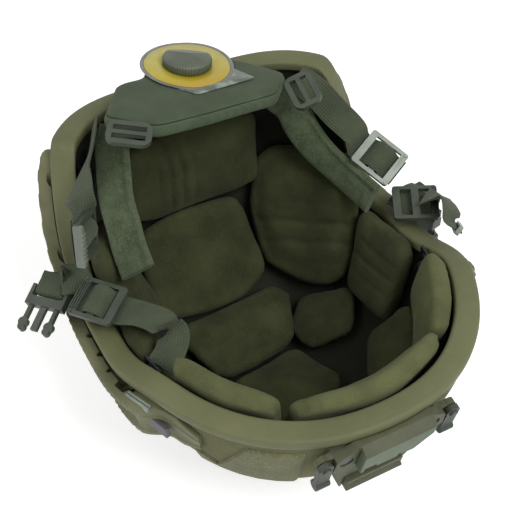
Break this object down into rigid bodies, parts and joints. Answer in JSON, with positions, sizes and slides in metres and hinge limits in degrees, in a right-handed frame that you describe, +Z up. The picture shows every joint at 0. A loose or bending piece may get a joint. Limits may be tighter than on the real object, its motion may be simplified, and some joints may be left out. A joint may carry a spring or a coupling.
{
  "type": "combat helmet",
  "caption": "Deep combat helmet lying on its crown, with rubber edge trim, side rails, front shroud, fitted pads, nape pad with dial, and chin straps.",
  "frame": {"origin": "middle of the small flat on the crown patch, where the helmet rests", "axes": "+Z up into the opening, -Y towards the brow, +X towards the wearer's right"},
  "size_m": [0.2972, 0.2991, 0.2118],
  "materials": {
    "shell_skin": "matte speckled paint",
    "edge_rubber": "smooth satin",
    "loop_pile": "short looped pile",
    "rail_plastic": "moulded matte",
    "insert_plastic": "moulded satin",
    "black_steel": "black satin",
    "shroud_polymer": "moulded matte",
    "cover_plate": "satin paint",
    "hook_plastic": "moulded matte",
    "band_plastic": "glossy",
    "dial_black": "satin",
    "knob_plastic": "moulded satin",
    "card": "glossy printed card",
    "pad_suede": "brushed knit",
    "brow_suede": "brushed knit",
    "nape_cloth": "fine woven",
    "neck_fleece": "fleece",
    "webbing": "ribbed webbing",
    "clip_plastic": "moulded satin",
    "pale_clip_plastic": "moulded satin"
  },
  "bodies": {
    "helmet": {"shell": "shell_skin", "edge_trim": "edge_rubber", "loop_crown": "loop_pile", "loop_fronts": "loop_pile", "loop_rear": "loop_pile", "rail_left": "rail_plastic", "rail_right": "rail_plastic", "rail_inserts": "insert_plastic", "strap_bolts": "black_steel", "strap_washers": "black_steel", "strap_anchors": "black_steel", "wall_nuts": "black_steel", "shroud_plate": "shroud_polymer", "shroud_cover": "cover_plate", "shroud_screws": "black_steel", "fit_band": "band_plastic", "dial_housing": "dial_black", "dial_label": "card", "nape_pad": "nape_cloth", "nape_loop_left": "clip_plastic", "nape_loop_right": "clip_plastic", "brow_pad_left": "brow_suede", "brow_pad_front": "brow_suede", "brow_pad_right": "brow_suede", "pad_discs": "black_steel", "neck_pad_left": "neck_fleece", "neck_pad_right": "neck_fleece", "ladder_left_rear": "clip_plastic", "ladder_left_front": "clip_plastic", "ladder_right_rear": "pale_clip_plastic", "ladder_right_front": "clip_plastic", "keeper_right": "pale_clip_plastic", "pad_rear": "pad_suede", "pad_upper_rear": "pad_suede", "pad_crown": "pad_suede", "pad_front_crown": "pad_suede", "pad_front": "pad_suede", "pad_rear_right": "pad_suede", "pad_rear_left": "pad_suede", "pad_side_right": "pad_suede", "pad_side_left": "pad_suede", "pad_crown_right": "pad_suede", "pad_front_right": "pad_suede", "pad_front_left": "pad_suede", "web_left_rear": "webbing", "web_left_front": "webbing", "web_left_chin": "webbing", "web_right_rear": "webbing", "web_right_loop": "webbing", "web_right_chin": "webbing"},
    "dial": {"dial_knob": "knob_plastic", "dial_pinion": "dial_black"},
    "rack_left": {"rack_left": "dial_black"},
    "rack_right": {"rack_right": "dial_black"},
    "latch": {"shroud_latch": "shroud_polymer"},
    "hook_left": {"hook_left": "hook_plastic"},
    "hook_right": {"hook_right": "hook_plastic"},
    "buckle_male": {"buckle_male": "clip_plastic"},
    "buckle_female": {"buckle_female": "clip_plastic"}
  },
  "joints": [
    {"name": "dial_turn", "type": "hinge", "parent": "helmet", "child": "dial", "pos_m": [0.0023, 0.1204, 0.2004], "axis": [0.1201, 0.0601, 0.9909], "range_deg": [-180, 180]},
    {"name": "rack_left_slide", "type": "slide", "parent": "helmet", "child": "rack_left", "axis": [0.9927, 0, -0.1203], "range_m": [-0.0102, 0.0102]},
    {"name": "rack_right_slide", "type": "slide", "parent": "helmet", "child": "rack_right", "axis": [0.9927, 0, -0.1203], "range_m": [-0.0102, 0.0102]},
    {"name": "latch_slide", "type": "slide", "parent": "helmet", "child": "latch", "axis": [0, 0.1736, -0.9848], "range_m": [0, 0.003], "stiffness_N_per_m": 200, "springref_m": -0.001},
    {"name": "hook_left_turn", "type": "hinge", "parent": "helmet", "child": "hook_left", "pos_m": [-0.041, -0.13295, 0.12008], "axis": [0, 0.9848, 0.1736], "range_deg": [0, 25]},
    {"name": "hook_right_turn", "type": "hinge", "parent": "helmet", "child": "hook_right", "pos_m": [0.041, -0.13295, 0.12008], "axis": [0, 0.9848, 0.1736], "range_deg": [-25, 0]},
    {"name": "buckle_male_turn", "type": "hinge", "parent": "helmet", "child": "buckle_male", "pos_m": [-0.1265, 0.054, 0.1126], "axis": [0.6407, -0.758, 0.1225], "range_deg": [-20, 20]},
    {"name": "buckle_female_turn", "type": "hinge", "parent": "helmet", "child": "buckle_female", "pos_m": [0.135, 0.022, 0.1026], "axis": [-0.1997, 0.9791, 0.039], "range_deg": [-20, 6]}
  ],
  "couplings": [
    {"joint": "rack_right_slide", "follows": "dial_turn", "m_per_rad": -0.0032},
    {"joint": "rack_left_slide", "follows": "dial_turn", "m_per_rad": 0.0032}
  ]
}
